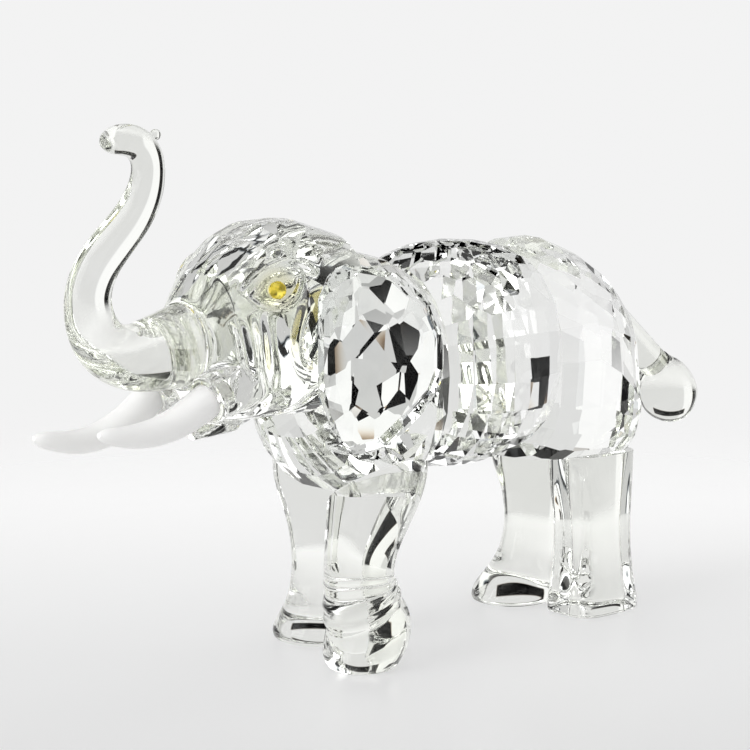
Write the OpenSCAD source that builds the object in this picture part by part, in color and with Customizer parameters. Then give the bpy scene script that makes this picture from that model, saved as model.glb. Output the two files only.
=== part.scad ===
// Cut-crystal elephant figurine: faceted body blocks, ears and crown, smooth trunk, legs and tail,
// ground flat at every joint and bonded there with thin films of clear adhesive.
// +X is the animal's left, -Y its front, +Z up; the feet stand on z = 0.

/* [View] */

/* [Body blocks] */
// Half width of the body blocks at their fattest
body_half_w = 36; // [32:0.5:40]
// Half height of the chest and rump at their fattest
body_half_h = 41; // [38:0.5:44]
// Half height of the torso at its fattest
torso_half_h = 39.8; // [37:0.2:42]
// Height of the chest and rump axis over the ground
body_z = 98; // [95:0.5:101]
// Height of the torso axis over the ground
torso_z = 100.3; // [98:0.1:102]
// Plane of the joint between chest and torso
waist_front_y = -29; // [-32:0.5:-26]
// Plane of the joint between torso and rump
waist_rear_y = 23; // [20:0.5:25]
// Size of the section at the front waist joint, as a share of the fattest section
waist_front_scale = 0.82; // [0.75:0.01:0.9]
// Size of the section at the rear waist joint, as a share of the fattest section
waist_rear_scale = 0.9; // [0.82:0.01:0.95]
// Fattest section of the chest
chest_mid_y = -52; // [-56:0.5:-48]
// Foremost reach of the chest, before the neck flat is ground
chest_front_y = -78; // [-82:0.5:-76]
// Fattest section of the rump
rump_mid_y = 37; // [34:0.5:40]
// Rearmost reach of the rump
rump_rear_y = 81.5; // [80:0.5:88]
// Drop of the rump's axis from its fattest section to its rear
rump_drop = 12; // [6:1:14]
// Squareness of the upper half of every body section (2 is an ellipse)
top_square = 2.1; // [2:0.05:2.4]
// Squareness of the lower half of the chest section
belly_square = 2.6; // [2:0.05:3]
// Squareness of the lower half of the rump section
rump_square = 3; // [2.6:0.1:4]
// Facets round the torso
torso_facets = 22; // [16:2:26]
// Facets round the chest and the rump
end_facets = 22; // [16:2:24]

/* [Head] */
// Centre of the crown blank above the ground
crown_z = 118; // [115:0.5:121]
// Centre of the crown blank along the body
crown_y = -90; // [-92:0.5:-86]
// Half width, half length and half height of the crown blank
crown_half = [27, 40, 35];
// Radius of the muzzle where the trunk is bonded
muzzle_r = 13.6; // [12:0.1:15]
// Plane of the trunk joint
muzzle_y = -121; // [-123:0.5:-119]
// Height of the trunk axis at its joint
muzzle_z = 113.6; // [111:0.2:116]
// Lean of the neck joint away from upright
neck_lean = 17; // [10:1:24]
// Point of the neck joint on the body's middle plane, height over the ground
neck_z = 112; // [108:1:116]
// Point of the neck joint on the body's middle plane, along the body
neck_y = -67; // [-70:0.5:-64]

/* [Ears] */
// Thickness of an ear from its ground inner face to the peak of its facets
ear_peak = 12.2; // [12:0.1:13]
// Peak of an ear's facets: rearwards from its front edge, and height over the ground
ear_top = [20.3, 120];
// Height of an ear's girdle over its inner face
ear_girdle = 4.5; // [3:0.5:6]
// Turn of the ears towards the front
ear_turn = 10; // [0:1:20]
// Distance of the ears' inner faces from the middle plane, at the ears' front edge
ear_in_x = 25.5; // [24:0.5:28]
// Front edge of the ears
ear_front_y = -86; // [-89:0.5:-83]
// Facet directions round an ear's rim
ear_facets = 14; // [10:2:18]
// Facet directions in the tier round the facets at the peak
ear_kites = 11; // [8:1:16]

/* [Eyes] */
// Diameter of an eye stone
eye_d = 5.8; // [4:0.1:7]
// Height of an eye stone over its flat back
eye_h = 2.6; // [1.8:0.1:3]
// Centre of an eye stone on the left side of the head
eye_at = [23.6, -99.5, 132];
// Direction that an eye stone faces on the left side of the head
eye_look = [1, -0.42, 0.18];
// Facets round an eye stone
eye_facets = 8; // [6:1:12]

/* [Tusks] */
// Diameter of a tusk's ground spigot
tusk_spigot_d = 6.4; // [5:0.2:7]
// Length of a tusk's spigot in its socket
tusk_spigot_len = 7; // [4:0.5:9]
// Distance of the tusk roots from the middle plane
tusk_x = 14.5; // [13:0.5:16]
// Radius of the head's boss round a tusk socket
boss_r = 7.9; // [7.2:0.1:9]
// Length of that boss inside the head
boss_len = 24; // [20:1:26]
// Tip of the lower lip between the tusks
lip_at = [0, -116, 84.6];

/* [Legs and tail] */
// Tilt of the front leg seats under the chest
seat_tilt = 30; // [20:1:36]
// Distance of the front leg seats from the body axis
seat_dist = 40.4; // [38:0.1:40.6]
// Height of the flat under the rump that carries the rear legs
rear_seat_z = 60; // [59:0.5:62]
// Diameter of the tail rod
tail_d = 11.6; // [9:0.2:13]
// Length of the tail rod along its axis
tail_len = 44; // [40:1:48]
// Fall of the tail rod below level
tail_fall = 40; // [34:1:46]
// Fall of the tail drop below level
drop_fall = 56; // [50:1:62]
// Centre of the tail rod at its seat on the rump
tail_root = [0, 74.5, 113.8];
// Lean of the tail's seat away from upright
tail_seat_lean = 10; // [6:1:14]

/* [Joints] */
// Thickness of an adhesive film
film = 0.3; // [0.2:0.05:0.5]
// Radial clearance of a spigot in its drilled socket
fit_gap = 0.3; // [0.3:0.05:0.6]

/* [Hidden] */
$fn = 48;
// Shift of the whole animal along Y, from its control rows to the middle of its length
shift_y = 19.9;
ring_n = 24;
rod_n = 20;
head_n = 28;
reach = 240;

neck_n = [0, -cos(neck_lean), sin(neck_lean)];
neck_d = neck_n * [0, neck_y, neck_z];
ear_n = [cos(ear_turn), -sin(ear_turn), 0];
ear_s = [sin(ear_turn), cos(ear_turn), 0];
ear_o = [ear_in_x, ear_front_y, 0];
seat_n = [sin(seat_tilt), 0, -cos(seat_tilt)];
seat_d = seat_dist + seat_n * [0, 0, body_z];
tail_dir = [0, cos(tail_fall), -sin(tail_fall)];
tail_seat_n = [0, cos(tail_seat_lean), sin(tail_seat_lean)];
tail_seat_d = tail_seat_n * tail_root;
tail_seat_up = [0, -sin(tail_seat_lean), cos(tail_seat_lean)];
tail_end = tail_root + tail_dir * tail_len;

// Ear outline, rearwards from the front edge and upwards from the ground.
ear_outline = [[0, 128], [3, 136], [10, 139.5], [26, 134.5], [38, 127], [44.5, 118], [46.5, 106],
  [44, 96.5], [38, 91], [27.5, 82], [12, 76.5], [7, 81], [2, 95], [-0.5, 112]];

// Trunk: y, z, radius in the bend plane, radius across.
trunk_line = [[-121, 113.6, 13.4, 13.4], [-125, 112.8, 13, 13], [-131, 112, 12.2, 12.2],
  [-139, 111.4, 11, 11], [-147, 113.4, 9.8, 9.8], [-153.3, 118.2, 8.8, 8.8],
  [-156.6, 125.5, 8, 7.9], [-157, 133.5, 7.4, 7.2], [-153.4, 141.8, 7.1, 7],
  [-146.4, 149.3, 6.8, 6.7], [-138.9, 156.6, 6.4, 6.3], [-134.4, 163.8, 5.9, 5.8],
  [-132.8, 170.5, 5.4, 5.4], [-133.6, 175.6, 5.3, 5.5], [-137, 179.6, 5.2, 5.9],
  [-142.2, 181, 5.1, 6], [-146.6, 180.6, 4.3, 5.2], [-149, 180, 2.9, 3.6],
  [-150.4, 179.6, 1.2, 1.6]];
// Nub behind the trunk's lip: y, z, radius.
trunk_nub = [-129.8, 182, 1.8];

// Left tusk: distance from the middle plane, y, z, radius; the right tusk hangs a little lower.
tusk_left_line = [[14.1, -117, 98.8, 5.7], [14.5, -121.5, 97.2, 5.7], [15, -127, 94.8, 5.6],
  [15.6, -134, 92, 5.2], [16.4, -143, 90, 4.6], [17.2, -152, 89.6, 3.9], [17.8, -160, 90.4, 3],
  [18, -164.5, 91.2, 2.2], [18.1, -166.8, 91.7, 0.9]];
tusk_right_line = [[14.1, -117, 98.2, 5.7], [14.5, -121.5, 96, 5.7], [15, -127, 91.4, 5.4],
  [15.6, -134, 87.2, 5], [16.2, -143, 84, 4.5], [16.6, -152, 83.4, 3.9], [16.8, -160, 84.6, 3.1],
  [16.8, -164.5, 85.6, 2.3], [16.8, -167, 86.3, 0.9]];

// Head sections from the neck forwards: y, centre height, half width, half height, squareness.
head_line = [[-52, 115, 22, 29, 2], [-64, 117.5, 25.6, 31.6, 2.2], [-78, 119.6, 27.4, 33, 2.2],
  [-90, 119.8, 27.4, 32.8, 2.2], [-100, 118.4, 25.6, 31.4, 2.2], [-108, 115.6, 21.5, 28.2, 2.1],
  [-114, 113.8, 17.6, 25.2, 2], [-118, 113.6, 14.9, 19, 2], [-121, 113.6, 13.6, 13.6, 2]];

// Leg sections: x, y, z, half width, half length, rise towards the rear, squareness.
leg_fl_line = [[20.6, -60.6, 0, 9.8, 10.6, 0, 2.2], [20.6, -60.2, 0.9, 11, 11.8, 0, 2.2],
  [20.6, -59, 5.2, 13.6, 14.4, 7, 2.1], [20.6, -58.2, 10.8, 14.8, 16, 17, 2],
  [20.6, -58.6, 16.2, 14, 15, 24, 2], [20.6, -59.6, 18.9, 13.1, 13.8, 26, 2],
  [20.6, -60.2, 20.4, 13.4, 14.2, 26, 2], [20.6, -60.6, 22, 13.7, 14.3, 26, 2],
  [20.6, -61, 23.3, 12.8, 13.4, 25, 2], [20.6, -61.2, 24.6, 13, 13.6, 24, 2],
  [20.6, -61.5, 26, 13, 13.5, 22, 2], [20.6, -61.8, 27.6, 12.2, 12.6, 19, 2],
  [20.6, -61.8, 34, 12, 12.2, 10, 2], [20.6, -60.2, 42, 12.8, 12.9, 2, 2],
  [20.6, -57.4, 50, 14.4, 14.4, 0, 2], [20.5, -54.6, 58, 15.8, 16, 0, 2],
  [20.4, -53, 66, 16.6, 16.8, 0, 2], [20.4, -52.6, 76, 16.8, 17, 0, 2]];
leg_fr_line = [[-21.5, -43, 0, 15, 15.6, 0, 2.1], [-21.5, -43, 1.2, 15.9, 16.6, 0, 2.1],
  [-21.5, -43, 4, 16, 16.8, 0, 2.1], [-21.5, -42.8, 8.5, 14.4, 15, 0, 2],
  [-21.5, -42.2, 14, 12.2, 12.6, 0, 2], [-21.5, -41.4, 23, 11.2, 11.4, 0, 2],
  [-21.5, -41.2, 33, 11.5, 11.7, 0, 2], [-21.5, -41.6, 44, 13.2, 13.4, 0, 2],
  [-21.2, -42.8, 56, 16, 16.4, 0, 2], [-20.6, -43.4, 66, 16.8, 17, 0, 2],
  [-20.4, -43.4, 76, 16.8, 17, 0, 2]];
leg_rl_line = [[15.2, 58.8, 0, 11.2, 15, 0, 4], [15.2, 58.8, 1, 12, 16, 0, 4],
  [15.2, 58.8, 5, 11.9, 15.9, 0, 4], [15.2, 58.6, 12, 11, 15, 0, 4],
  [15.2, 58.4, 22, 10.4, 13.8, 0, 4], [15.2, 58.2, 34, 10.4, 13.4, 0, 4],
  [15.2, 57.6, 45, 11.2, 14.5, 0, 3.6], [15.2, 57.2, 54, 11.8, 15.4, 0, 3.2],
  [15.2, 57, rear_seat_z - film / 2, 12.2, 15.8, 0, 3]];
leg_rr_line = [[-16.5, 50.5, 0, 14, 16, 0, 2.1], [-16.5, 50.5, 1, 15.2, 17.4, 0, 2.1],
  [-16.5, 50.8, 3.5, 15.4, 17.6, 0, 2.1], [-16.5, 52, 7.5, 14.2, 16.2, 0, 2.1],
  [-16.5, 55, 13, 12.4, 13.4, 0, 2], [-16.5, 58.2, 20, 11.2, 11.8, 0, 2],
  [-16.5, 59.8, 30, 11, 11.4, 0, 2], [-16.3, 60, 42, 12.4, 13, 0, 2.1],
  [-16, 58.6, 52, 14, 15.8, 0, 2.2], [-16, 58, rear_seat_z - film / 2, 14.4, 16.8, 0, 2.3]];

// Tail drop: distance past its ground top, radius.
drop_line = [[0, 6.6], [2.5, 8.2], [6, 10], [10, 11.1], [14, 11.4], [18, 10.7],
  [22, 8.4], [25, 5.2], [26.3, 2.2]];

function unit(v) = v / norm(v);
function spow(v, p) = sign(v) * pow(abs(v), p);
function flip(v) = [-v.x, v.y, v.z];

// Catmull-Rom curve through a list of rows, k steps to a span.
function curve(p, k) = let (m = len(p) - 1) concat([for (i = [0:m - 1]) for (s = [0:k - 1])
  let (a = p[max(i - 1, 0)], b = p[i], c = p[i + 1], d = p[min(i + 2, m)], t = s / k)
  (2 * b + (c - a) * t + (2 * a - 5 * b + 4 * c - d) * t * t
    + (3 * b - a - 3 * c + d) * t * t * t) / 2], [p[m]]);

function ring(c, u, v, ru, rv, p, n) = [for (i = [0:n - 1]) let (t = 360 * i / n)
  c + u * ru * spow(cos(t), 2 / p) + v * rv * spow(sin(t), 2 / p)];

// Solid through a run of rings of equal count.
module skin(rings) {
  n = len(rings[0]);
  m = len(rings);
  sides = [for (j = [0:m - 2]) for (i = [0:n - 1]) each
    let (a = j * n + i, b = j * n + (i + 1) % n) [[a, a + n, b + n], [a, b + n, b]]];
  polyhedron([for (r = rings) each r],
    concat([[for (i = [0:n - 1]) i]], sides, [[for (i = [n - 1:-1:0]) (m - 1) * n + i]]));
}

// Round-sectioned sweep along points x, y, z with radii ru across and rv in the bend plane.
module sweep(path, n) {
  m = len(path) - 1;
  skin([for (i = [0:m]) let (q = path[i], a = path[max(i - 1, 0)], b = path[min(i + 1, m)],
    w = unit([b[0] - a[0], b[1] - a[1], b[2] - a[2]]), u = unit([1, 0, 0] - w * w[0]),
    v = cross(w, u)) ring([q[0], q[1], q[2]], u, v, q[3], q[4], 2, n)]);
}

// The half space below the plane n . p = d.
module cut(n, d) {
  u = unit(n);
  rotate([0, 0, atan2(u.y, u.x)]) rotate([0, acos(u.z), 0])
    translate([-reach, -reach, d - 2 * reach]) cube(2 * reach);
}

// Thin elliptical disc centred at c, facing along n, with half sizes a across and b up its slope.
module disc(c, n, a, b) {
  u = unit(n);
  translate(c) rotate([0, 0, atan2(u.y, u.x)]) rotate([0, acos(u.z), 0])
    translate([0, 0, -film / 2]) linear_extrude(film) scale([b, a]) circle(1);
}

// Facet plane touching the body at the angle phi round the axis, where the profile row is
// [y, scale, slope, axis height, slope of the axis] and h is the half height of the block.
function facet(row, phi, h, low) = let (p = sin(phi) > 0 ? top_square : low,
  u = spow(cos(phi), 2 / p), w = spow(sin(phi), 2 / p), gz = spow(w, p - 1) / h,
  n = unit([spow(u, p - 1) / body_half_w, -row[2] - gz * row[4], gz]))
  [n, n * [body_half_w * row[1] * u, row[0], h * row[1] * w + row[3]]];

// Profile row at y on an arc that falls from 1 at mid to 1 - fall at the end.
function arc_row(y, mid, end, fall, q, z) = let (t = (y - mid) / (end - mid))
  [y, 1 - fall * pow(t, q), -fall * q * pow(t, q - 1) / (end - mid), z, 0];

// Profile row at y on a dome that closes at the end while its axis sinks by drop.
function dome_row(y, mid, end, drop, z, q) = let (l = end - mid, t = (y - mid) / l,
  r = sqrt(1 - pow(t, q))) [y, r, -q / 2 * pow(t, q - 1) / (l * r), z - drop * t, -drop / l];

// Facet planes of a block: aligned rows on its sides, staggered rows on its top.
function facets(rows, lows, count, start, h, low) = [
  for (j = [0:len(rows) - 1]) for (i = [0:count - 1])
    let (step = 360 / count, phi = (i + start) * step,
      lag = (j % 2 == 1 && sin(phi) > 0.45) ? step / 2 : 0)
    facet(sin(phi) < 0 ? lows[j] : rows[j], phi + lag, h, low)];

module blank(list) intersection_for(f = list) cut(f[0], f[1]);

chest_rows = [for (t = [0.93, 0.75, 0.52, 0.26])
    arc_row(chest_mid_y + t * (chest_front_y - chest_mid_y), chest_mid_y, chest_front_y, 0.58, 2.3,
      body_z),
  for (t = [0.05, 0.4, 0.78])
    arc_row(chest_mid_y + t * (waist_front_y - chest_mid_y), chest_mid_y, waist_front_y,
      1 - waist_front_scale, 2.2, body_z)];
torso_mid_y = (waist_front_y + waist_rear_y) / 2;
torso_rows = [
  for (t = [0.86, 0.52, 0.17])
    arc_row(torso_mid_y + t * (waist_front_y - torso_mid_y), torso_mid_y, waist_front_y,
      1 - waist_front_scale, 2.2, torso_z),
  for (t = [0.17, 0.52, 0.86])
    arc_row(torso_mid_y + t * (waist_rear_y - torso_mid_y), torso_mid_y, waist_rear_y,
      1 - waist_rear_scale, 2.2, torso_z)];
function rump_rows(q) = [
  for (t = [0.7, 0.1])
    arc_row(rump_mid_y + t * (waist_rear_y - rump_mid_y), rump_mid_y, waist_rear_y,
      1 - waist_rear_scale, 2.2, body_z),
  for (t = [0.2, 0.4, 0.58, 0.74, 0.87, 0.96])
    dome_row(rump_mid_y + t * (rump_rear_y - rump_mid_y), rump_mid_y, rump_rear_y, rump_drop,
      body_z, q)];

module chest_block() color("white") translate([0, shift_y, 0]) intersection() {
  blank(facets(chest_rows, chest_rows, end_facets, 0.5, body_half_h, belly_square));
  cut([0, 1, 0], waist_front_y - film / 2);
  cut(neck_n, neck_d - film / 2);
  cut(ear_n, ear_n * ear_o - film / 2);
  cut(flip(ear_n), ear_n * ear_o - film / 2);
  cut(seat_n, seat_d - film / 2);
  cut(flip(seat_n), seat_d - film / 2);
}

module torso_block() color("white") translate([0, shift_y, 0]) intersection() {
  blank(facets(torso_rows, torso_rows, torso_facets, 0, torso_half_h, top_square));
  cut([0, -1, 0], -waist_front_y - film / 2);
  cut([0, 1, 0], waist_rear_y - film / 2);
}

module rump_block() color("white") translate([0, shift_y, 0]) intersection() {
  blank(facets(rump_rows(2.6), rump_rows(3.3), end_facets, 0.5, body_half_h, rump_square));
  cut([0, -1, 0], -waist_rear_y - film / 2);
  cut([0, 0, -1], -rear_seat_z - film / 2);
  cut(tail_seat_n, tail_seat_d - film / 2);
}

// Crown facets: tiers from the forehead over the top, seven to a tier, every second one shifted.
crown_rows = [for (e = [34, 52, 70, 90, 112, 134]) for (k = [-3:3])
  let (a = k * 18 + (e == 52 || e == 90 || e == 134 ? 9 : 0))
  unit([sin(a), -cos(a) * cos(e), cos(a) * sin(e)])];
function crown_d(n) = norm([n.x * crown_half.x, n.y * crown_half.y, n.z * crown_half.z])
  + n * [0, crown_y, crown_z];

// Left (s = 1) or right (s = -1) copy of a point or direction.
function side(v, s) = [s * v.x, v.y, v.z];
function tusk_root(s) = [s * tusk_x, -121.5, s > 0 ? 97.2 : 96.2];
tusk_axis = unit([0.1, -1, -0.34]);

// Rod along a direction from a point, starting 'back' behind it.
module rod(p, dir, back, len, r1, r2) translate(p) rotate([0, 0, atan2(dir.y, dir.x)])
  rotate([0, acos(dir.z), 0]) translate([0, 0, -back]) cylinder(h = len, r1 = r1, r2 = r2);

eye_n = unit(eye_look);
eye_sunk = 1;
// The boss stops this far short of the tusk, to leave room for its root.
boss_back = 0.6;

module head() color("white") translate([0, shift_y, 0]) difference() {
  union() {
    intersection() {
      skin([for (q = curve(head_line, 2))
        ring([0, q[0], q[1]], [1, 0, 0], [0, 0, 1], q[2], q[3], q[4], head_n)]);
      intersection_for(n = crown_rows) cut(n, crown_d(n));
      cut([0, -1, 0], -muzzle_y - film / 2);
      cut(-neck_n, -neck_d - film / 2);
      cut(ear_n, ear_n * ear_o - film / 2);
      cut(flip(ear_n), ear_n * ear_o - film / 2);
    }
    for (s = [-1, 1])
      rod(tusk_root(s), side(tusk_axis, s), boss_len, boss_len - boss_back, boss_r + 3, boss_r);
    rod(lip_at, unit([0, -1, -0.3]), 16, 18, 6.4, 2.6);
  }
  for (s = [-1, 1])
    rod(tusk_root(s), side(tusk_axis, s), tusk_spigot_len + film, tusk_spigot_len + 2,
      tusk_spigot_d / 2 + fit_gap, tusk_spigot_d / 2 + fit_gap);
  for (s = [-1, 1])
    rod(side(eye_at, s), side(eye_n, s), eye_sunk, 9, eye_d / 2 + fit_gap, eye_d / 2 + fit_gap);
}

module trunk() color("white") translate([0, shift_y, 0]) union() {
  intersection() {
    sweep([for (q = curve(concat([[-118, 114, 13.5, 13.5]], trunk_line), 2))
      [0, q[0], q[1], q[3], q[2]]], rod_n);
    cut([0, 1, 0], muzzle_y - film / 2);
  }
  translate([0, trunk_nub[0], trunk_nub[1]]) sphere(trunk_nub[2]);
}

module tusk(s, line) color("ivory") translate([0, shift_y, 0]) union() {
  intersection() {
    sweep([for (q = curve(line, 3)) [s * q[0], q[1], q[2], q[3], q[3]]], rod_n);
    cut(-side(tusk_axis, s), -(side(tusk_axis, s) * tusk_root(s)));
  }
  rod(tusk_root(s), side(tusk_axis, s), tusk_spigot_len - film / 2, tusk_spigot_len + 2,
    tusk_spigot_d / 2, tusk_spigot_d / 2);
}
module tusk_left() tusk(1, tusk_left_line);
module tusk_right() tusk(-1, tusk_right_line);

// Reach of the ear outline in the direction a.
function ear_reach(a) = max([for (q = ear_outline) q * [cos(a), sin(a)]]);
ear_dome_at = [22, 107];
ear_dome_half = [26, 35.5, 8.6];
ear_dome_low = 3.4;
// Facet plane touching a flat dome over the ear, at the turn a round it and the angle b off its top.
function ear_facet(a, b) = let (
  q = [cos(a) * sin(b), sin(a) * sin(b), cos(b)], h = ear_dome_half,
  n = ear_s * q[0] / h[0] + [0, 0, q[1] / h[1]] + ear_n * q[2] / h[2],
  p = ear_o + ear_s * (ear_dome_at[0] + h[0] * q[0]) + [0, 0, ear_dome_at[1] + h[1] * q[1]]
    + ear_n * (ear_dome_low + h[2] * q[2]), w = n / norm(n)) [w, w * p];
// Facet plane through the peak of the ear, falling by the angle b in the direction a round it.
function ear_peak_facet(a, b) = let (
  n = (ear_s * cos(a) + [0, 0, sin(a)]) * sin(b) + ear_n * cos(b))
  [n, n * (ear_o + ear_s * ear_top[0] + [0, 0, ear_top[1]] + ear_n * ear_peak)];
// Upright facet of the ear's girdle.
function ear_rim_facet(a) = let (m = ear_s * cos(a) + [0, 0, sin(a)]) [m, m * ear_o + ear_reach(a)];
// Facet behind the girdle, sloping in towards the inner face.
function ear_back_facet(a) = let (
  m = ear_s * cos(a) + [0, 0, sin(a)], n = m * cos(38) - ear_n * sin(38),
  p = ear_o + m * (ear_reach(a) - 0.3) + ear_n * (ear_girdle - 1))
  [n, n * p];
// Facet tier round the dome, with its own count, first direction and angle off the top.
function ear_tier(n, first, b) = [for (i = [0:n - 1]) ear_facet(first + i * 360 / n, b)];
ear_list = concat(
  [for (q = [[8, 6], [75, 10], [140, 9], [205, 4], [262, 1], [318, 3]]) ear_peak_facet(q[0], q[1])],
  [for (a = [196, 234, 268, 300, 334]) ear_facet(a, 23)],
  ear_tier(ear_kites, 14, 37), ear_tier(ear_facets, 0, 57),
  ear_tier(ear_facets, 180 / ear_facets, 74),
  [for (i = [0:ear_facets - 1]) each let (a = i * 360 / ear_facets) [
    ear_rim_facet(a), ear_back_facet(a)]]);

module ear() intersection() {
  blank(ear_list);
  cut(-ear_n, -(ear_n * ear_o) - film / 2);
}
module ear_left() color("white") translate([0, shift_y, 0]) ear();
module ear_right() color("white") translate([0, shift_y, 0]) mirror([1, 0, 0]) ear();

// Eye stone: flat back, a tier of crown facets and a staggered tier of star facets.
module eye(s) translate(side(eye_at, s))
  rotate([0, 0, atan2(eye_n.y, s * eye_n.x)]) rotate([0, acos(eye_n.z), 0])
    translate([0, 0, film - eye_sunk]) intersection() {
      cylinder(h = eye_h, d = eye_d);
      eye_tier(42, eye_d / 2, 0.45, 0);
      eye_tier(62, eye_d / 2 * 0.82, 0.68, 0.5);
    }
// Ring of facets at a steepness, through a radius at a share of the stone's height.
module eye_tier(rise, r, share, turn)
  intersection_for(i = [0:eye_facets - 1]) rotate([0, 0, (i + turn) * 360 / eye_facets])
    cut([cos(rise), 0, sin(rise)], cos(rise) * r + sin(rise) * eye_h * share);
module eye_left() color("gold") translate([0, shift_y, 0]) eye(1);
module eye_right() color("gold") translate([0, shift_y, 0]) eye(-1);

module eye_foil(s) translate([0, shift_y, 0]) rod(side(eye_at, s), side(eye_n, s), eye_sunk,
  film, eye_d / 2, eye_d / 2);
module eye_foil_left() color("goldenrod") eye_foil(1);
module eye_foil_right() color("goldenrod") eye_foil(-1);

// Smooth leg through its section rows, k steps to a span.
module leg(line, k) skin([for (q = curve(line, k))
  ring([q[0], q[1], q[2]], [1, 0, 0], [0, cos(q[5]), sin(q[5])], q[3], q[4], q[6], ring_n)]);

module leg_front_left() color("white") translate([0, shift_y, 0]) intersection() {
  leg(leg_fl_line, 2);
  cut(-seat_n, -seat_d - film / 2);
  cut([0, 0, -1], 0);
}
module leg_front_right() color("white") translate([0, shift_y, 0]) intersection() {
  leg(leg_fr_line, 2);
  cut(-flip(seat_n), -seat_d - film / 2);
}
module leg_rear_left() color("white") translate([0, shift_y, 0]) leg(leg_rl_line, 2);
module leg_rear_right() color("white") translate([0, shift_y, 0]) leg(leg_rr_line, 2);

module tail_rod() color("white") translate([0, shift_y, 0]) intersection() {
  rod(tail_root, tail_dir, tail_d, tail_len + tail_d - film / 2, tail_d / 2, tail_d / 2);
  cut(-tail_seat_n, -tail_seat_d - film / 2);
}

drop_dir = [0, cos(drop_fall), -sin(drop_fall)];
drop_top = tail_end + drop_dir * film / 2;
module tail_drop() color("white") translate([0, shift_y, 0]) intersection() {
  skin([for (q = curve(concat([[-4, 5.2]], drop_line), 2)) let (c = tail_end + drop_dir * q[0])
    ring(c, [1, 0, 0], cross(drop_dir, [1, 0, 0]), q[1], q[1], 2, ring_n)]);
  cut(-tail_dir, -(tail_dir * tail_end) - film / 2);
}

// Adhesive film between two ground faces.
module glue(c, n, a, b) color("lightyellow") translate([0, shift_y, 0]) disc(c, n, a, b);
neck_up = [0, sin(neck_lean), cos(neck_lean)];
module neck_bond() glue([0, neck_y, neck_z] - neck_up * 3, neck_n, 22, 22);
module front_waist_bond() glue([0, waist_front_y, (body_z + torso_z) / 2], [0, 1, 0], 27.5, 31);
module rear_waist_bond() glue([0, waist_rear_y, (body_z + torso_z) / 2], [0, 1, 0], 30.5, 34.5);
module trunk_bond() glue([0, muzzle_y, muzzle_z], [0, 1, 0], 13, 13);
module tusk_bond(s) color("lightyellow") translate([0, shift_y, 0])
  rod(tusk_root(s), side(tusk_axis, s), tusk_spigot_len + film, film, tusk_spigot_d / 2,
    tusk_spigot_d / 2);
module tusk_left_bond() tusk_bond(1);
module tusk_right_bond() tusk_bond(-1);
ear_seat = ear_o + ear_s * 34 + [0, 0, 104];
module ear_left_bond() glue(ear_seat, ear_n, 11, 15);
module ear_right_bond() glue(flip(ear_seat), flip(ear_n), 11, 15);
seat_mid = [seat_dist * sin(seat_tilt), -52.8, body_z - seat_dist * cos(seat_tilt)];
module leg_front_left_bond() glue(seat_mid, seat_n, 13, 10.5);
module leg_front_right_bond() glue([-seat_mid.x, -47, seat_mid.z], flip(seat_n), 11, 10.5);
module leg_rear_left_bond() glue([13, 57.4, rear_seat_z], [0, 0, 1], 12, 8);
module leg_rear_right_bond() glue([-13, 58, rear_seat_z], [0, 0, 1], 12, 8);
module tail_root_bond() glue(tail_root - tail_seat_up * 4, tail_seat_n, 4.6, 4.8);
module tail_drop_bond() glue(tail_end, tail_dir, 5.6, 5.6);

chest_block();
torso_block();
rump_block();
head();
trunk();
tusk_left();
tusk_right();
ear_left();
ear_right();
eye_left();
eye_right();
eye_foil_left();
eye_foil_right();
leg_front_left();
leg_front_right();
leg_rear_left();
leg_rear_right();
tail_rod();
tail_drop();
neck_bond();
front_waist_bond();
rear_waist_bond();
trunk_bond();
tusk_left_bond();
tusk_right_bond();
ear_left_bond();
ear_right_bond();
leg_front_left_bond();
leg_front_right_bond();
leg_rear_left_bond();
leg_rear_right_bond();
tail_root_bond();
tail_drop_bond();
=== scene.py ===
"""Looks of the cut-crystal elephant: faceted CAD blocks in clear glass, with its smooth hand-shaped
pieces (head, trunk, tusks, legs, tail drop) rebuilt finely from their control rows."""

import math

import bmesh
import bpy
import numpy as np
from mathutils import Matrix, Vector


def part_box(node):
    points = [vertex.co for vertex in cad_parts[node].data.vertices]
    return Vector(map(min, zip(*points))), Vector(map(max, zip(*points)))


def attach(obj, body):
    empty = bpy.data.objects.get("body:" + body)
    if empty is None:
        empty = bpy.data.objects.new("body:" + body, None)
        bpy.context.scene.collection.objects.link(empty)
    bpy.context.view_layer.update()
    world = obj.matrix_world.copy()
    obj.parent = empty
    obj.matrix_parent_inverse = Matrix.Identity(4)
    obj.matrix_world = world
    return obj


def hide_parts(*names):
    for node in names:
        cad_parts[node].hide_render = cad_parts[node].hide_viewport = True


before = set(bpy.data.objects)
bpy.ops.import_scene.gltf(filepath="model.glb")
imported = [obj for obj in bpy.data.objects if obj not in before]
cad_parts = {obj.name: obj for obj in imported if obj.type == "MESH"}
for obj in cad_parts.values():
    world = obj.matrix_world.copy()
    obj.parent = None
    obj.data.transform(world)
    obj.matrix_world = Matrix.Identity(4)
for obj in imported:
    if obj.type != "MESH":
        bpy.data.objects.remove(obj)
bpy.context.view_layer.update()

MM = 0.001
FILM = 0.3
WAIST_Y = -29.0  # front waist plane in the rows below
waist_lo, waist_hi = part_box("front_waist_bond")
SHIFT = np.array([0.0, (waist_lo.y + waist_hi.y) / 2 / MM - WAIST_Y, 0.0])

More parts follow.
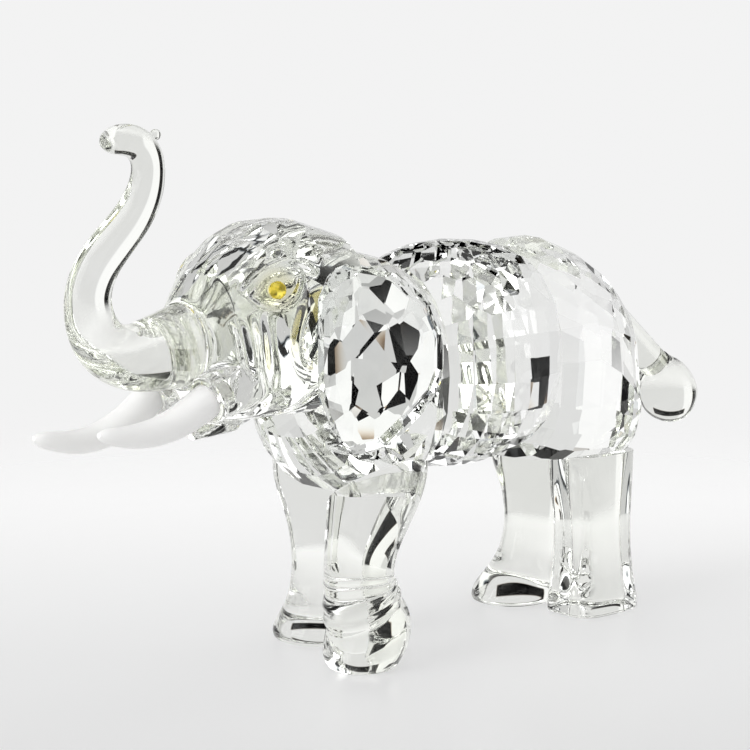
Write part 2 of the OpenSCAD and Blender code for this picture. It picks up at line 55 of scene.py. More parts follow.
# ---------------------------------------------------------------- control rows, millimetres
# Trunk: y, z, radius in the bend plane, radius across.
TRUNK = [
    (-118, 114, 13.5, 13.5), (-121, 113.6, 13.4, 13.4), (-125, 112.8, 13, 13),
    (-131, 112, 12.2, 12.2), (-139, 111.4, 11, 11), (-147, 113.4, 9.8, 9.8),
    (-153.3, 118.2, 8.8, 8.8), (-156.6, 125.5, 8, 7.9), (-157, 133.5, 7.4, 7.2),
    (-153.4, 141.8, 7.1, 7), (-146.4, 149.3, 6.8, 6.7), (-138.9, 156.6, 6.4, 6.3),
    (-134.4, 163.8, 5.9, 5.8), (-132.8, 170.5, 5.4, 5.4), (-133.6, 175.6, 5.3, 5.5),
    (-137, 179.6, 5.2, 5.9), (-142.2, 181, 5.1, 6), (-146.6, 180.6, 4.3, 5.2),
    (-149, 180, 2.9, 3.6), (-150.4, 179.6, 1.2, 1.6),
]  # fmt: skip
NUB = (-129.8, 182, 1.8)
# Tusks: distance from the middle plane, y, z, radius.
TUSK_LEFT = [
    (14.1, -117, 98.8, 5.7), (14.5, -121.5, 97.2, 5.7), (15, -127, 94.8, 5.6),
    (15.6, -134, 92, 5.2), (16.4, -143, 90, 4.6), (17.2, -152, 89.6, 3.9),
    (17.8, -160, 90.4, 3), (18, -164.5, 91.2, 2.2), (18.1, -166.8, 91.7, 0.9),
]  # fmt: skip
TUSK_RIGHT = [
    (14.1, -117, 98.2, 5.7), (14.5, -121.5, 96, 5.7), (15, -127, 91.4, 5.4),
    (15.6, -134, 87.2, 5), (16.2, -143, 84, 4.5), (16.6, -152, 83.4, 3.9),
    (16.8, -160, 84.6, 3.1), (16.8, -164.5, 85.6, 2.3), (16.8, -167, 86.3, 0.9),
]  # fmt: skip
# Head sections: y, centre height, half width, half height, squareness.
HEAD = [
    (-46, 113, 20, 27, 2), (-52, 115, 22, 29, 2), (-64, 117.5, 25.6, 31.6, 2.2),
    (-78, 119.6, 27.4, 33, 2.2), (-90, 119.8, 27.4, 32.8, 2.2), (-100, 118.4, 25.6, 31.4, 2.2),
    (-108, 115.6, 21.5, 28.2, 2.1), (-114, 113.8, 17.6, 25.2, 2), (-118, 113.6, 14.9, 19, 2),
    (-121, 113.6, 13.6, 13.6, 2), (-125, 113.6, 13.4, 13.4, 2),
]  # fmt: skip
# Leg sections: x, y, z, half width, half length, rise towards the rear, squareness.
LEG_FL = [
    (20.6, -60.6, 0, 9.8, 10.6, 0, 2.2), (20.6, -60.2, 0.9, 11, 11.8, 0, 2.2),
    (20.6, -59, 5.2, 13.6, 14.4, 7, 2.1), (20.6, -58.2, 10.8, 14.8, 16, 17, 2),
    (20.6, -58.6, 16.2, 14, 15, 24, 2), (20.6, -59.6, 18.9, 13.1, 13.8, 26, 2),
    (20.6, -60.2, 20.4, 13.4, 14.2, 26, 2), (20.6, -60.6, 22, 13.7, 14.3, 26, 2),
    (20.6, -61, 23.3, 12.8, 13.4, 25, 2), (20.6, -61.2, 24.6, 13, 13.6, 24, 2),
    (20.6, -61.5, 26, 13, 13.5, 22, 2), (20.6, -61.8, 27.6, 12.2, 12.6, 19, 2),
    (20.6, -61.8, 34, 12, 12.2, 10, 2), (20.6, -60.2, 42, 12.8, 12.9, 2, 2),
    (20.6, -57.4, 50, 14.4, 14.4, 0, 2), (20.5, -54.6, 58, 15.8, 16, 0, 2),
    (20.4, -53, 66, 16.6, 16.8, 0, 2), (20.4, -52.6, 76, 16.8, 17, 0, 2),
]  # fmt: skip
LEG_FR = [
    (-21.5, -43, 0, 15, 15.6, 0, 2.1), (-21.5, -43, 1.2, 15.9, 16.6, 0, 2.1),
    (-21.5, -43, 4, 16, 16.8, 0, 2.1), (-21.5, -42.8, 8.5, 14.4, 15, 0, 2),
    (-21.5, -42.2, 14, 12.2, 12.6, 0, 2), (-21.5, -41.4, 23, 11.2, 11.4, 0, 2),
    (-21.5, -41.2, 33, 11.5, 11.7, 0, 2), (-21.5, -41.6, 44, 13.2, 13.4, 0, 2),
    (-21.2, -42.8, 56, 16, 16.4, 0, 2), (-20.6, -43.4, 66, 16.8, 17, 0, 2),
    (-20.4, -43.4, 76, 16.8, 17, 0, 2),
]  # fmt: skip
REAR_SEAT_Z = 60.0
LEG_RL = [
    (15.2, 58.8, 0, 11.2, 15, 0, 4), (15.2, 58.8, 1, 12, 16, 0, 4),
    (15.2, 58.8, 5, 11.9, 15.9, 0, 4), (15.2, 58.6, 12, 11, 15, 0, 4),
    (15.2, 58.4, 22, 10.4, 13.8, 0, 4), (15.2, 58.2, 34, 10.4, 13.4, 0, 4),
    (15.2, 57.6, 45, 11.2, 14.5, 0, 3.6), (15.2, 57.2, 54, 11.8, 15.4, 0, 3.2),
    (15.2, 57, REAR_SEAT_Z - FILM / 2, 12.2, 15.8, 0, 3),
]  # fmt: skip
LEG_RR = [
    (-16.5, 50.5, 0, 14, 16, 0, 2.1), (-16.5, 50.5, 1, 15.2, 17.4, 0, 2.1),
    (-16.5, 50.8, 3.5, 15.4, 17.6, 0, 2.1), (-16.5, 52, 7.5, 14.2, 16.2, 0, 2.1),
    (-16.5, 55, 13, 12.4, 13.4, 0, 2), (-16.5, 58.2, 20, 11.2, 11.8, 0, 2),
    (-16.5, 59.8, 30, 11, 11.4, 0, 2), (-16.3, 60, 42, 12.4, 13, 0, 2.1),
    (-16, 58.6, 52, 14, 15.8, 0, 2.2), (-16, 58, REAR_SEAT_Z - FILM / 2, 14.4, 16.8, 0, 2.3),
]  # fmt: skip
# Tail drop: distance past its ground top, radius.
DROP = [
    (-4, 5.2), (0, 6.6), (2.5, 8.2), (6, 10), (10, 11.1), (14, 11.4), (18, 10.7),
    (22, 8.4), (25, 5.2), (26.3, 2.2),
]  # fmt: skip


def unit(v):
    v = np.asarray(v, float)
    return v / np.linalg.norm(v)


def mirrored(v, side):
    return np.array([side * v[0], v[1], v[2]])


SEAT_TILT, SEAT_DIST, BODY_Z = math.radians(30), 40.4, 98.0
SEAT_N = np.array([math.sin(SEAT_TILT), 0, -math.cos(SEAT_TILT)])
SEAT_D = SEAT_DIST + SEAT_N[2] * BODY_Z
TAIL_FALL, DROP_FALL, TAIL_LEN = math.radians(40), math.radians(56), 44.0
TAIL_ROOT = np.array([0, 74.5, 113.8])
TAIL_DIR = np.array([0, math.cos(TAIL_FALL), -math.sin(TAIL_FALL)])
DROP_DIR = np.array([0, math.cos(DROP_FALL), -math.sin(DROP_FALL)])
TAIL_END = TAIL_ROOT + TAIL_DIR * TAIL_LEN
TUSK_AXIS = unit([0.1, -1, -0.34])
TUSK_X, TUSK_Y, TUSK_Z = 14.5, -121.5, {1: 97.2, -1: 96.2}
SPIGOT_R, SPIGOT_LEN, FIT = 3.2, 7.0, 0.3
MUZZLE_Y, MUZZLE_Z, MUZZLE_R = -121.0, 113.6, 14.1
AHEAD = np.array([0, -1.0, 0])
NECK_LEAN = math.radians(17)
NECK_N = np.array([0, -math.cos(NECK_LEAN), math.sin(NECK_LEAN)])
NECK_AT = np.array([0, -67.0, 112.0])
EAR_TURN = math.radians(10)
EAR_N = np.array([math.cos(EAR_TURN), -math.sin(EAR_TURN), 0])
EAR_AT, EAR_FRONT = np.array([25.5, -86.0, 0]), -88.5
EYE_AT, EYE_N, EYE_R, EYE_SUNK = np.array([23.6, -99.5, 132]), unit([1, -0.42, 0.18]), 2.9, 1.0


# ---------------------------------------------------------------- mesh tools
def curve(rows, steps, soften=0):
    """Catmull-Rom curve through rows, then softened by a short moving average."""
    p = np.array(rows, float)
    m = len(p) - 1
    out = []
    for i in range(m):
        a, b, c, d = p[max(i - 1, 0)], p[i], p[i + 1], p[min(i + 2, m)]
        for s in range(steps):
            t = s / steps
            out.append(
                (2 * b + (c - a) * t + (2 * a - 5 * b + 4 * c - d) * t * t
                 + (3 * b - a - 3 * c + d) * t ** 3) / 2
            )  # fmt: skip
    out = np.array(out + [p[m]])
    for _ in range(soften):
        out[1:-1] = (out[:-2] + 2 * out[1:-1] + out[2:]) / 4
    return out


def ring(c, u, v, ru, rv, power, n):
    t = np.linspace(0, 2 * math.pi, n, endpoint=False)
    cu = np.sign(np.cos(t)) * np.abs(np.cos(t)) ** (2 / power)
    cv = np.sign(np.sin(t)) * np.abs(np.sin(t)) ** (2 / power)
    return c + np.outer(cu * ru, u) + np.outer(cv * rv, v)


def skin(rings):
    """bmesh through rings of equal count, in metres of the shared frame, closed by flat caps."""
    bm = bmesh.new()
    loops = [[bm.verts.new(((p + SHIFT) * MM).tolist()) for p in r] for r in rings]
    n = len(loops[0])
    for a, b in zip(loops, loops[1:]):
        for i in range(n):
            j = (i + 1) % n
            bm.faces.new((a[i], a[j], b[j], b[i]))
    bm.faces.new(loops[0][::-1])
    bm.faces.new(loops[-1])
    bmesh.ops.recalc_face_normals(bm, faces=bm.faces)
    return bm


def sweep(path, n):
    """Rings along x, y, z, radius across, radius in the bend plane, for a path at constant x."""
    rings = []
    m = len(path) - 1
    for i, q in enumerate(path):
        w = unit(path[min(i + 1, m)][:3] - path[max(i - 1, 0)][:3])
        u = unit(np.array([1, 0, 0]) - w * w[0])
        rings.append(ring(q[:3], u, np.cross(w, u), q[3], q[4], 2, n))
    return skin(rings)


def trim(bm, n, d):
    """Keeps the side of bm below the plane n . p = d and closes the cut flat."""
    n = np.asarray(n, float)
    co = (n * d / (n @ n) + SHIFT) * MM
    bmesh.ops.bisect_plane(
        bm, geom=bm.verts[:] + bm.edges[:] + bm.faces[:], dist=1e-7, plane_co=co.tolist(),
        plane_no=n.tolist(), clear_outer=True,
    )  # fmt: skip
    rim = [e for e in bm.edges if e.is_boundary]
    bmesh.ops.holes_fill(bm, edges=rim, sides=0)


def rod(at, axis, back, length, r1, r2, n=64):
    """bmesh of a cone or cylinder along axis, from 'back' behind at."""
    axis = unit(axis)
    u = unit(np.cross(axis, [0, 0, 1]) if abs(axis[2]) < 0.9 else np.cross(axis, [1, 0, 0]))
    v = np.cross(axis, u)
    start = np.asarray(at, float) - axis * back
    return skin([ring(start, u, v, r1, r1, 2, n), ring(start + axis * length, u, v, r2, r2, 2, n)])


def lathe(at, axis, profile, n=96):
    """bmesh turned round an axis from (distance, radius) pairs."""
    axis = unit(axis)
    u = unit(np.cross(axis, [0, 0, 1]))
    v = np.cross(axis, u)
    return skin([ring(np.asarray(at, float) + axis * a, u, v, r, r, 2, n) for a, r in profile])


def to_object(bm, name):
    me = bpy.data.meshes.new(name)
    bm.to_mesh(me)
    bm.free()
    ob = bpy.data.objects.new(name, me)
    bpy.context.scene.collection.objects.link(ob)
    return ob


def joined(parts, name):
    """One object with the meshes of several bmeshes."""
    whole = bmesh.new()
    for bm in parts:
        me = bpy.data.meshes.new("part")
        bm.to_mesh(me)
        bm.free()
        whole.from_mesh(me)
        bpy.data.meshes.remove(me)
    return to_object(whole, name)


def applied(ob):
    """Applies an object's modifiers."""
    dg = bpy.context.evaluated_depsgraph_get()
    me = bpy.data.meshes.new_from_object(ob.evaluated_get(dg))
    ob.modifiers.clear()
    old = ob.data
    ob.data = me
    bpy.data.meshes.remove(old)
    return ob


def combine(ob, bm, operation):
    """Boolean of ob with a bmesh."""
    other = to_object(bm, "cutter")
    m = ob.modifiers.new("bool", "BOOLEAN")
    m.operation, m.object, m.solver = operation, other, "MANIFOLD"
    applied(ob)
    bpy.data.objects.remove(other)
    return ob


def shade(ob, angle=24, planes=()):
    """Smooth shading, broken at every edge sharper than angle and round every facet on the planes."""
    bm = bmesh.new()
    bm.from_mesh(ob.data)
    limit = math.radians(angle)
    normal = np.array([f.normal[:] for f in bm.faces])
    centre = np.array([f.calc_center_median()[:] for f in bm.faces]) / MM - SHIFT
    facet = np.full(len(bm.faces), -1)
    for k, (n, d) in enumerate(planes):
        facet[(np.abs(centre @ n - d) < 0.01) & (normal @ n > 0.999)] = k
    for f in bm.faces:
        f.smooth = True
    for e in bm.edges:
        if len(e.link_faces) == 2:
            a, b = (int(facet[f.index]) for f in e.link_faces)
            e.smooth = bool(a == b and e.calc_face_angle(0) < limit)
    bm.to_mesh(ob.data)
    bm.free()
    return ob


# ---------------------------------------------------------------- smooth pieces
def make_trunk():
    path = [(0, q[0], q[1], q[3], q[2]) for q in curve(TRUNK, 10, 20)]
    bm = sweep(np.array(path), 96)
    trim(bm, [0, 1, 0], MUZZLE_Y - FILM / 2)
    ob = to_object(bm, "trunk_glass")
    nub = bmesh.new()
    bmesh.ops.create_uvsphere(nub, u_segments=32, v_segments=20, radius=NUB[2] * MM)
    bmesh.ops.translate(
        nub, verts=nub.verts, vec=((np.array([0, NUB[0], NUB[1]]) + SHIFT) * MM).tolist()
    )
    return shade(combine(ob, nub, "UNION"))


def tusk_root(side):
    return np.array([side * TUSK_X, TUSK_Y, TUSK_Z[side]])


def make_tusk(side, rows, name):
    root, axis = tusk_root(side), mirrored(TUSK_AXIS, side)
    path = [(side * q[0], q[1], q[2], q[3], q[3]) for q in curve(rows, 10, 6)]
    bm = sweep(np.array(path), 72)
    trim(bm, -axis, -(axis @ root))
    ob = to_object(bm, name)
    combine(ob, rod(root, axis, SPIGOT_LEN - FILM / 2, SPIGOT_LEN + 2, SPIGOT_R, SPIGOT_R), "UNION")
    return shade(ob)


def make_leg(rows, name, soften, plane=None):
    rings = [
        ring(q[:3], [1, 0, 0], [0, math.cos(math.radians(q[5])), math.sin(math.radians(q[5]))],
             q[3], q[4], q[6], 112)
        for q in curve(rows, 8, soften)
    ]  # fmt: skip
    bm = skin([np.array(r) for r in rings])
    if plane is not None:
        trim(bm, -plane[0], -plane[1] - FILM / 2)
    trim(bm, [0, 0, -1], 0)
    return shade(to_object(bm, name))


def make_drop():
    rings = [
        ring(TAIL_END + DROP_DIR * q[0], [1, 0, 0], np.cross(DROP_DIR, [1, 0, 0]), q[1], q[1], 2, 96)
        for q in curve(DROP, 8, 3)
    ]
    bm = skin(rings)
    trim(bm, -TAIL_DIR, -(TAIL_DIR @ TAIL_END) - FILM / 2)
    return shade(to_object(bm, "tail_drop_glass"))


# Modelled lines of the face, on the left side: points x, y, z, width, height (negative is a groove).
ALMOND = [
    (19.6, -106.6, 130.2), (20.4, -102.6, 135.4), (21.8, -97.6, 137.6), (22.6, -90.6, 136.6),
    (23.4, -93.6, 130.2), (23.1, -98.8, 127.0), (21.5, -103.8, 127.6), (19.6, -106.6, 130.2),
]  # fmt: skip
FACE = [
    (ALMOND, 0.9, 0.9),
    ([(17.7, -109, 130.6), (19.5, -103, 136.8), (20.9, -98.6, 139.4), (21.3, -91, 140.4),
      (23.2, -83.3, 136)], 1.5, 1.5),
    ([(17.2, -113, 123), (18, -111.2, 119.6), (18.6, -110.4, 114), (19.6, -109, 107.5),
      (20.4, -107.6, 102.5)], 1.7, -1.1),
    ([(21.4, -106.2, 125), (22, -105.4, 118), (22.4, -104.6, 110), (22.4, -103, 102.6),
      (21.6, -101, 97), (17.4, -101, 93), (12.4, -101.3, 90)], 1.8, -1.3),
    ([(22, -101.4, 124), (22.9, -100.6, 113.7), (22.4, -98.6, 105), (21.8, -97.2, 98)], 2.0, -0.5),
    ([(25.2, -85.6, 125.5), (24.9, -88.6, 120.5), (24.6, -90.5, 115.1), (24.8, -89.8, 110),
      (25, -87.6, 107), (25.4, -85.4, 109.5)], 1.0, -1.6),
    ([(25.2, -83.6, 123), (25, -86.6, 118), (25, -87.6, 114), (25.3, -85.6, 111.6)], 0.9, 0.9),
    ([(24, -78, 99.6), (20, -82.4, 95.4), (13.6, -86, 90.6), (9.2, -95.6, 88.6)], 1.6, -1.1),
]  # fmt: skip


SIDEWAYS = 0.08  # how much a miss to the side counts against one along the face
HOLLOW_DEPTH, HOLLOW_R = 0.5, 4.6  # shallow dish round each eye


def along(points, co):
    """Distance of each point from a polyline, and the share of its length at the nearest point."""
    p = curve(points, 5)
    span = np.linalg.norm(np.diff(p, axis=0), axis=1)
    start = np.concatenate([[0], np.cumsum(span)])
    best, at = np.full(len(co), 1e9), np.zeros(len(co))
    for a, b, s, l in zip(p, p[1:], start, span):
        if l < 1e-9:
            continue
        t = np.clip((co - a) @ (b - a) / l**2, 0, 1)
        d = np.linalg.norm(co - a - t[:, None] * (b - a), axis=1)
        near = d < best
        best[near], at[near] = d[near], (s + t[near] * l) / start[-1]
    return best, at


def nearest(point, co):
    """The surface point that lies straight out from 'point', to the animal's side."""
    return tuple(co[np.argmin(((co - point) ** 2) @ [SIDEWAYS, 1, 1])])


def sculpt(ob):
    """Raises and sinks the lines of the face along the surface normals, on both sides."""
    me = ob.data
    n = len(me.vertices)
    co, no = np.zeros(n * 3), np.zeros(n * 3)
    me.vertices.foreach_get("co", co)
    me.vertices.foreach_get("normal", no)
    co, no = co.reshape(-1, 3), no.reshape(-1, 3)
    left = co / MM - SHIFT
    left[:, 0] = np.abs(left[:, 0])
    lift = np.zeros(n)
    for points, width, height in FACE:
        d, at = along([nearest(q, left) for q in points], left)
        closed = points[0] == points[-1]
        ends = 1.0 if closed else np.clip(np.minimum(at, 1 - at) * 6, 0, 1) ** 0.7
        lift += height * np.exp(-((d / width) ** 2)) * ends
    socket = np.linalg.norm((left - EYE_AT) - np.outer((left - EYE_AT) @ EYE_N, EYE_N), axis=1)
    facing = (left - EYE_AT) @ EYE_N > -6
    lift -= HOLLOW_DEPTH * np.exp(-((socket / HOLLOW_R) ** 4)) * facing
    co += no * (lift * MM)[:, None]
    me.vertices.foreach_set("co", co.ravel())
    me.update()


# Crown facets: rise of the tier from straight ahead, step round the head, first direction,
# widest direction, depth.
CROWN = [
    (31, 10, 5, 76, 0.7), (49, 10, 0, 76, 0.7), (68, 17, 8.5, 70, 0.8), (88, 23, 0, 72, 0.9),
    (107, 23, 11.5, 72, 0.9), (126, 23, 0, 72, 0.9),
]  # fmt: skip
# The facets end at these two planes, which meet over the eyes: normal and distance.
BROW_Z = 141.8
BROW_PLANES = [
    (np.array([0, 0, 1.0]), BROW_Z),
    (unit([0, -0.75, 1]), unit([0, -0.75, 1]) @ [0, -98.5, BROW_Z]),
]


def crown_planes(ob):
    """Facet planes over the forehead and crown, each cutting a little way into the head."""
    co = np.zeros(len(ob.data.vertices) * 3)
    ob.data.vertices.foreach_get("co", co)
    co = co.reshape(-1, 3) / MM - SHIFT
    co = co[np.any([co @ n > d for n, d in BROW_PLANES], axis=0)]
    planes = []
    for rise, step, first, widest, depth in CROWN:
        e = math.radians(rise)
        for k in range(-8, 9):
            turn = first + k * step
            if abs(turn) > widest:
                continue
            a = math.radians(turn)
            n = unit([math.sin(a), -math.cos(a) * math.cos(e), math.cos(a) * math.sin(e)])
            planes.append((n, (co @ n).max() - depth))
    return planes


def block(cuts):
    bm = bmesh.new()
    bmesh.ops.create_cube(bm, size=500 * MM)
    for n, d in cuts:
        trim(bm, n, d)
    return bm


def rolled(back, inner, outer, steps=10):
    """Profile of a half-round lip from 'back' behind its flat front."""
    out = [(back, inner - 2)]
    for k in range(steps + 1):
        a = math.pi * k / steps
        out.append((back * (0.5 + 0.5 * math.cos(a)), inner + (outer - inner) * math.sin(a)))
    return out + [(0, inner - 2)]


SOCKET = [(-25, 11), (-12, 9.4), (-6, 8.4), (-3, 8), (-0.8, 7.6)]  # distance along, radius
LOWER_LIP = [(-16, 6.4), (-8, 4.6), (-2, 3.4), (0.6, 2.9), (1.8, 2)]
MUZZLE_LIP, SOCKET_LIP = (-2.6, 13, 14.8), (-2.2, 7, 8.1)  # back, inner and outer radius
VOXEL, BLEND, EVEN = 0.5, 26, 4  # remesh size, smoothing rounds before and after the face lines


def make_head():
    """Sections, sockets and lip melted together, then the lines, lips, facets and seats cut in."""
    rings = [ring(np.array([0, q[0], q[1]]), [1, 0, 0], [0, 0, 1], q[2], q[3], q[4], 144)
             for q in curve(HEAD, 10, 8)]  # fmt: skip
    parts = [skin(rings)]
    for s in (1, -1):
        parts.append(lathe(tusk_root(s), mirrored(TUSK_AXIS, s), SOCKET))
    parts.append(lathe([0, -116, 84.6], [0, -1, -0.3], LOWER_LIP))
    ob = joined(parts, "head_glass")
    remesh = ob.modifiers.new("remesh", "REMESH")
    remesh.mode, remesh.voxel_size = "VOXEL", VOXEL * MM
    soft = ob.modifiers.new("soft", "SMOOTH")
    soft.factor, soft.iterations = 0.5, BLEND
    applied(ob)
    sculpt(ob)
    even = ob.modifiers.new("even", "SMOOTH")
    even.factor, even.iterations = 0.5, EVEN
    applied(ob)
    muzzle = [0, MUZZLE_Y + FILM / 2, MUZZLE_Z]
    combine(ob, lathe(muzzle, AHEAD, rolled(*MUZZLE_LIP)), "UNION")
    for s in (1, -1):
        combine(ob, lathe(tusk_root(s), mirrored(TUSK_AXIS, s), rolled(*SOCKET_LIP)), "UNION")
    crown = crown_planes(ob)
    for n, d in BROW_PLANES:
        waste = to_object(block([(-n, -d)]), "waste")
        combine(waste, block(crown), "DIFFERENCE")
        bm = bmesh.new()
        bm.from_mesh(waste.data)
        bpy.data.objects.remove(waste)
        combine(ob, bm, "DIFFERENCE")
    neck = (-NECK_N, -(NECK_N @ NECK_AT) - FILM / 2)
    combine(ob, block([neck]), "INTERSECT")
    seats = []
    for s in (1, -1):
        n, d = mirrored(EAR_N, s), EAR_N @ EAR_AT - FILM / 2
        seats.append((n, d))
        combine(ob, block([(-n, -d), (AHEAD, -EAR_FRONT)]), "DIFFERENCE")
    combine(ob, rod(muzzle, AHEAD, 0, 12, MUZZLE_R, MUZZLE_R), "DIFFERENCE")
    for s in (1, -1):
        combine(ob, rod(tusk_root(s), mirrored(TUSK_AXIS, s), SPIGOT_LEN + FILM, SPIGOT_LEN + 2,
                        SPIGOT_R + FIT, SPIGOT_R + FIT), "DIFFERENCE")  # fmt: skip
        combine(ob, rod(mirrored(EYE_AT, s), mirrored(EYE_N, s), EYE_SUNK, 9,
                        EYE_R + FIT, EYE_R + FIT), "DIFFERENCE")  # fmt: skip
    return shade(ob, 20, crown + seats + [neck])


# ---------------------------------------------------------------- materials
def new_material(name):
    mat = bpy.data.materials.new(name)
    mat.use_nodes = True
    nt = mat.node_tree
    return mat, nt, nt.nodes["Principled BSDF"]


def noise(nt, scale, detail=2.0):
    tex = nt.nodes.new("ShaderNodeTexNoise")
    tex.inputs["Scale"].default_value = scale
    tex.inputs["Detail"].default_value = detail
    coord = nt.nodes.new("ShaderNodeTexCoord")
    nt.links.new(coord.outputs["Object"], tex.inputs["Vector"])
    return tex


def ramp(nt, factor, stops):
    node = nt.nodes.new("ShaderNodeValToRGB")
    node.color_ramp.elements[0].position, node.color_ramp.elements[1].position = 0, 1
    for i, (at, colour) in enumerate(stops):
        e = node.color_ramp.elements[i] if i < 2 else node.color_ramp.elements.new(at)
        e.position, e.color = at, (*colour, 1)
    nt.links.new(factor, node.inputs["Fac"])
    return node


GLOW_FULL, GLOW_END = 3.5 * MM, 10 * MM  # reach of the painted yellow light around the eyes
GLOW = (1.0, 0.94, 0.58, 1)
POLARISED = 0.2  # the share of the surface glare that a polarising filter leaves


def crystal(name, clear, tint, scale, ior=1.54, wave=0.0, wave_scale=60.0):
    """Polished glass whose colour drifts between clear and tint; wave adds a faint hand-made ripple."""
    mat, nt, p = new_material(name)
    p.inputs["Transmission Weight"].default_value = 1.0
    p.inputs["Roughness"].default_value = 0.0
    p.inputs["IOR"].default_value = ior
    p.inputs["Specular Tint"].default_value = (POLARISED,) * 3 + (1,)
    tones = ramp(nt, noise(nt, scale).outputs["Fac"], [(0.35, clear), (0.65, tint)])
    nt.links.new(tones.outputs["Color"], p.inputs["Base Color"])
    if wave:
        bump = nt.nodes.new("ShaderNodeBump")
        bump.inputs["Strength"].default_value = wave
        bump.inputs["Distance"].default_value = 0.001
        nt.links.new(noise(nt, wave_scale, 0.0).outputs["Fac"], bump.inputs["Height"])
        nt.links.new(bump.outputs["Normal"], p.inputs["Normal"])
    return mat


def eye_glow(mat):
    """Painted yellow light around each eye, mixed into the glass colour: the light that the stone and
    its foil throw into the glass.
    """
    nt = mat.node_tree
    p = nt.nodes["Principled BSDF"]
    plain = p.inputs["Base Color"].links[0].from_socket
    coord = nt.nodes.new("ShaderNodeTexCoord")
    side = nt.nodes.new("ShaderNodeVectorMath")
    side.operation = "ABSOLUTE"
    nt.links.new(coord.outputs["Object"], side.inputs[0])
    away = nt.nodes.new("ShaderNodeVectorMath")
    away.operation = "DISTANCE"
    away.inputs[1].default_value = (EYE_AT[0] * MM, -(EYE_AT[1] + SHIFT[1]) * MM, EYE_AT[2] * MM)
    nt.links.new(side.outputs["Vector"], away.inputs[0])
    near = nt.nodes.new("ShaderNodeMapRange")
    near.interpolation_type = "SMOOTHSTEP"
    near.inputs["From Min"].default_value, near.inputs["From Max"].default_value = GLOW_FULL, GLOW_END
    near.inputs["To Min"].default_value, near.inputs["To Max"].default_value = 1, 0
    nt.links.new(away.outputs["Value"], near.inputs["Value"])
    # painted light: the glass colour turns yellow towards each eye
    cast = nt.nodes.new("ShaderNodeMix")
    cast.data_type = "RGBA"
    named = {s.identifier: s for s in cast.inputs}
    nt.links.new(near.outputs["Result"], named["Factor_Float"])
    nt.links.new(plain, named["A_Color"])
    named["B_Color"].default_value = GLOW
    mixed = next(s for s in cast.outputs if s.identifier == "Result_Color")
    nt.links.new(mixed, p.inputs["Base Color"])


FROST_GLOW = 0.07  # painted glow: emission standing for the light that the satin surface gathers from inside the glass


def frosted(name):
    mat, nt, p = new_material(name)
    p.inputs["Transmission Weight"].default_value = 0.12
    # painted glow: the tusks give off a little light of their own
    p.inputs["Emission Color"].default_value = (1, 0.995, 0.97, 1)
    p.inputs["Emission Strength"].default_value = FROST_GLOW
    p.inputs["IOR"].default_value = 1.5
    p.inputs["Subsurface Weight"].default_value = 0.35
    p.inputs["Subsurface Radius"].default_value = (0.004, 0.004, 0.004)
    p.inputs["Subsurface Scale"].default_value = 1.0
    tones = ramp(nt, noise(nt, 70, 3).outputs["Fac"],
                 [(0.3, (0.965, 0.96, 0.945)), (0.7, (0.99, 0.985, 0.97))])  # fmt: skip
    nt.links.new(tones.outputs["Color"], p.inputs["Base Color"])
    grain = noise(nt, 2600, 2)
    rough = nt.nodes.new("ShaderNodeMapRange")
    rough.inputs["To Min"].default_value, rough.inputs["To Max"].default_value = 0.42, 0.56
    nt.links.new(grain.outputs["Fac"], rough.inputs["Value"])
    nt.links.new(rough.outputs["Result"], p.inputs["Roughness"])
    bump = nt.nodes.new("ShaderNodeBump")
    bump.inputs["Strength"].default_value = 0.12
    bump.inputs["Distance"].default_value = 0.0003
    nt.links.new(grain.outputs["Fac"], bump.inputs["Height"])
    nt.links.new(bump.outputs["Normal"], p.inputs["Normal"])
    return mat


def foil(name):
    mat, nt, p = new_material(name)
    p.inputs["Metallic"].default_value = 1.0
    p.inputs["Roughness"].default_value = 0.25
    tones = ramp(nt, noise(nt, 700, 3).outputs["Fac"],
                 [(0.4, (0.96, 0.9, 0.7)), (0.6, (1.0, 0.96, 0.82))])  # fmt: skip
    nt.links.new(tones.outputs["Color"], p.inputs["Base Color"])
    return mat


FACET_TILT, FACET_SCALE = 0.1, 90  # tilt spread of the backs' facets, facets to the metre


def silvered(name):
    """Mirror finish of the ears' ground backs, with faint cloudy wear and flat facets."""
    mat, nt, p = new_material(name)
    p.inputs["Metallic"].default_value = 1.0
    p.inputs["Roughness"].default_value = 0.02
    tones = ramp(nt, noise(nt, 90, 3).outputs["Fac"],
                 [(0.3, (0.9, 0.91, 0.9)), (0.7, (0.96, 0.965, 0.95))])  # fmt: skip
    nt.links.new(tones.outputs["Color"], p.inputs["Base Color"])
    coord = nt.nodes.new("ShaderNodeTexCoord")
    cells = nt.nodes.new("ShaderNodeTexVoronoi")
    cells.inputs["Scale"].default_value = FACET_SCALE
    nt.links.new(coord.outputs["Object"], cells.inputs["Vector"])
    tilt = nt.nodes.new("ShaderNodeVectorMath")
    tilt.operation = "MULTIPLY_ADD"
    tilt.inputs[1].default_value = (FACET_TILT,) * 3
    tilt.inputs[2].default_value = (-FACET_TILT / 2,) * 3
    nt.links.new(cells.outputs["Color"], tilt.inputs[0])
    total = nt.nodes.new("ShaderNodeVectorMath")
    nt.links.new(coord.outputs["Normal"], total.inputs[0])
    nt.links.new(tilt.outputs["Vector"], total.inputs[1])
    facing = nt.nodes.new("ShaderNodeVectorMath")
    facing.operation = "NORMALIZE"
    nt.links.new(total.outputs["Vector"], facing.inputs[0])
    nt.links.new(facing.outputs["Vector"], p.inputs["Normal"])
    return mat


